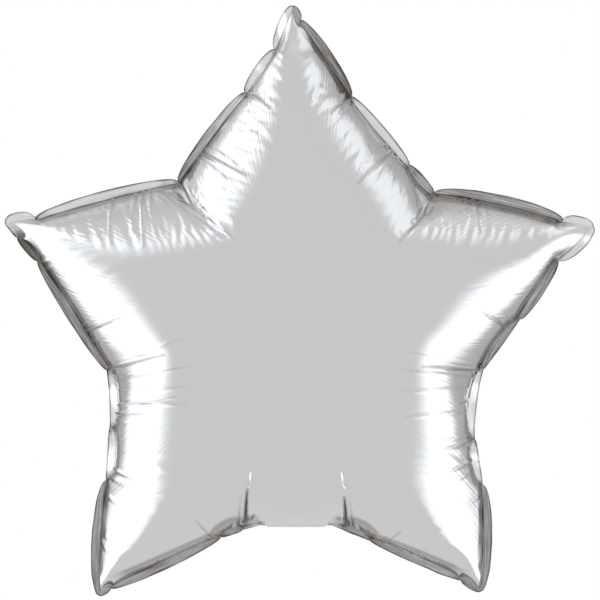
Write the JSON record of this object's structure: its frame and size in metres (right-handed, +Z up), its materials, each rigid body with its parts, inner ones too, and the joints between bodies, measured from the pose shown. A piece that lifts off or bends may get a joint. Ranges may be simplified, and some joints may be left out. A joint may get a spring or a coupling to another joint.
{
  "type": "star foil balloon",
  "caption": "Inflated silver star-shaped foil balloon with two bulged film panels, a flat welded margin and a fold-down filling neck at the bottom seam.",
  "frame": {"origin": "centre of the star in the seam plane, half way through its thickness, where the air holds it up", "axes": "+Z up towards the top tip, front panel facing -Y, +X to the right seen from the front"},
  "size_m": [0.4582, 0.1984, 0.4596],
  "materials": {
    "silver_film": "bright metallised plastic film, smooth with fine wrinkles",
    "welded_film": "metallised film, heat sealed and crimped",
    "valve_film": "clear soft film"
  },
  "bodies": {
    "envelope": {"front_panel": "silver_film", "back_panel": "silver_film", "margin_top_right": "welded_film", "margin_right_upper": "welded_film", "margin_right_lower": "welded_film", "margin_lower_right_outer": "welded_film", "margin_lower_right_bottom": "welded_film", "margin_lower_left_bottom": "welded_film", "margin_lower_left_outer": "welded_film", "margin_left_lower": "welded_film", "margin_left_upper": "welded_film", "margin_top_left": "welded_film", "neck_root": "welded_film"},
    "neck": {"neck_sleeve": "silver_film", "valve_strip": "valve_film"}
  },
  "joints": [
    {"name": "neck_fold", "type": "hinge", "parent": "envelope", "child": "neck", "pos_m": [0, 0, -0.1575], "axis": [-1, 0, 0], "range_deg": [0, 112]}
  ]
}
